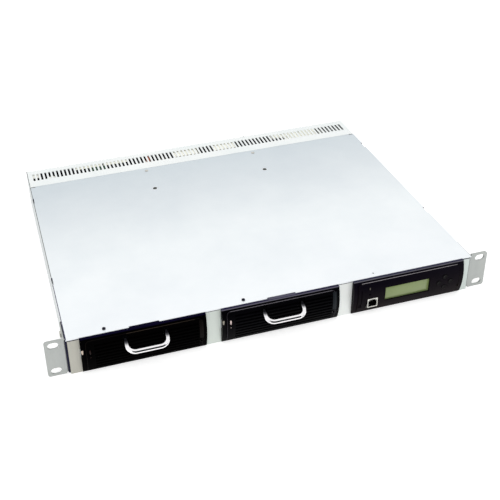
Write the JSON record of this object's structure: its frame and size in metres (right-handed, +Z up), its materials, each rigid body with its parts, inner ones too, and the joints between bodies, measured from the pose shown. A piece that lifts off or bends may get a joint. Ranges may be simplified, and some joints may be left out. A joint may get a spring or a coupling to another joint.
{
  "type": "rack power shelf",
  "caption": "Low rack shelf with pull-out rectifier units, a controller unit with display and keys, a slotted rear strip and mains inlets.",
  "frame": {"origin": "middle of the rack slot pattern on the rear face of the two ears", "axes": "+X right seen from the front, +Y to the rear, +Z up"},
  "size_m": [0.4826, 0.387, 0.0449],
  "materials": {
    "zinc_sheet": "zinc plated, satin",
    "bright_sheet": "pale zinc plated, satin",
    "front_sheet": "smooth pale coat",
    "ear_plate": "zinc plated",
    "screw_steel": "zinc plated",
    "black_screw": "black oxide",
    "rivet_metal": "plain",
    "circuit_board": "solder mask",
    "black_plastic": "moulded",
    "copper_bar": "plain copper",
    "terminal_brass": "plated",
    "port_metal": "tinned shell",
    "white_plastic": "moulded",
    "cream_plastic": "moulded",
    "bezel_plastic": "fine satin moulding",
    "handle_chrome": "polished",
    "lamp_lens": "clear frosted",
    "fan_plastic": "moulded",
    "sink_aluminium": "extruded",
    "transformer_ferrite": "taped",
    "capacitor_sleeve": "shrink sleeve",
    "display_glass": "display window",
    "button_plastic": "smooth keys"
  },
  "bodies": {
    "shelf": {"chassis_tray": "zinc_sheet", "top_cover": "bright_sheet", "rear_hood": "bright_sheet", "front_frame": "front_sheet", "ear_left": "ear_plate", "ear_right": "ear_plate", "ear_screws": "screw_steel", "divider_left": "zinc_sheet", "divider_right": "zinc_sheet", "side_guide_left": "zinc_sheet", "side_guide_right": "zinc_sheet", "cover_screws": "black_screw", "divider_screws": "screw_steel", "hood_rivets": "rivet_metal", "rear_board": "circuit_board", "bay_sockets": "black_plastic", "busbar_positive": "copper_bar", "busbar_negative": "copper_bar", "output_block": "black_plastic", "terminal_hardware": "terminal_brass", "mains_inlet_1": "black_plastic", "mains_inlet_2": "black_plastic", "inlet_pins": "terminal_brass", "signal_port": "port_metal", "board_headers": "white_plastic", "power_relays": "cream_plastic"},
    "rectifier_1": {"rectifier_1_case": "zinc_sheet", "rectifier_1_lid": "zinc_sheet", "rectifier_1_bezel": "bezel_plastic", "rectifier_1_lamps": "lamp_lens", "rectifier_1_fan_frame": "black_plastic", "rectifier_1_board": "circuit_board", "rectifier_1_heat_sink": "sink_aluminium", "rectifier_1_transformer": "transformer_ferrite", "rectifier_1_capacitors": "capacitor_sleeve"},
    "rectifier_1_bail": {"rectifier_1_handle": "handle_chrome"},
    "rectifier_1_fan": {"rectifier_1_fan_rotor": "fan_plastic"},
    "rectifier_2": {"rectifier_2_case": "zinc_sheet", "rectifier_2_lid": "zinc_sheet", "rectifier_2_bezel": "bezel_plastic", "rectifier_2_lamps": "lamp_lens", "rectifier_2_fan_frame": "black_plastic", "rectifier_2_board": "circuit_board", "rectifier_2_heat_sink": "sink_aluminium", "rectifier_2_transformer": "transformer_ferrite", "rectifier_2_capacitors": "capacitor_sleeve"},
    "rectifier_2_bail": {"rectifier_2_handle": "handle_chrome"},
    "rectifier_2_fan": {"rectifier_2_fan_rotor": "fan_plastic"},
    "controller": {"controller_case": "zinc_sheet", "controller_lid": "zinc_sheet", "controller_bezel": "bezel_plastic", "controller_display": "display_glass", "controller_front_board": "circuit_board", "controller_board": "circuit_board", "usb_port": "port_metal", "status_lamp": "lamp_lens"},
    "key_up": {"button_up": "button_plastic"},
    "key_left": {"button_left": "button_plastic"},
    "key_right": {"button_right": "button_plastic"},
    "key_down": {"button_down": "button_plastic"}
  },
  "joints": [
    {"name": "rectifier_1_slide", "type": "slide", "parent": "shelf", "child": "rectifier_1", "axis": [0, -1, 0], "range_m": [0, 0.2]},
    {"name": "rectifier_1_bail_hinge", "type": "hinge", "parent": "rectifier_1", "child": "rectifier_1_bail", "pos_m": [-0.1417, -0.0065, 0.0123], "axis": [-1, 0, 0], "range_deg": [0, 50]},
    {"name": "rectifier_1_fan_spin", "type": "hinge", "parent": "rectifier_1", "child": "rectifier_1_fan", "pos_m": [-0.1681, 0.01, -0.0013], "axis": [0, 1, 0], "continuous": true},
    {"name": "rectifier_2_slide", "type": "slide", "parent": "shelf", "child": "rectifier_2", "axis": [0, -1, 0], "range_m": [0, 0.2]},
    {"name": "rectifier_2_bail_hinge", "type": "hinge", "parent": "rectifier_2", "child": "rectifier_2_bail", "pos_m": [0.0026, -0.0065, 0.0123], "axis": [-1, 0, 0], "range_deg": [0, 50]},
    {"name": "rectifier_2_fan_spin", "type": "hinge", "parent": "rectifier_2", "child": "rectifier_2_fan", "pos_m": [-0.0238, 0.01, -0.0013], "axis": [0, 1, 0], "continuous": true},
    {"name": "controller_slide", "type": "slide", "parent": "shelf", "child": "controller", "axis": [0, -1, 0], "range_m": [0, 0.2]},
    {"name": "key_up_press", "type": "slide", "parent": "controller", "child": "key_up", "axis": [0, 1, 0], "range_m": [0, 0.0007], "stiffness_N_per_m": 700, "springref_m": -0.0002},
    {"name": "key_left_press", "type": "slide", "parent": "controller", "child": "key_left", "axis": [0, 1, 0], "range_m": [0, 0.0007], "stiffness_N_per_m": 700, "springref_m": -0.0002},
    {"name": "key_right_press", "type": "slide", "parent": "controller", "child": "key_right", "axis": [0, 1, 0], "range_m": [0, 0.0007], "stiffness_N_per_m": 700, "springref_m": -0.0002},
    {"name": "key_down_press", "type": "slide", "parent": "controller", "child": "key_down", "axis": [0, 1, 0], "range_m": [0, 0.0007], "stiffness_N_per_m": 700, "springref_m": -0.0002}
  ]
}
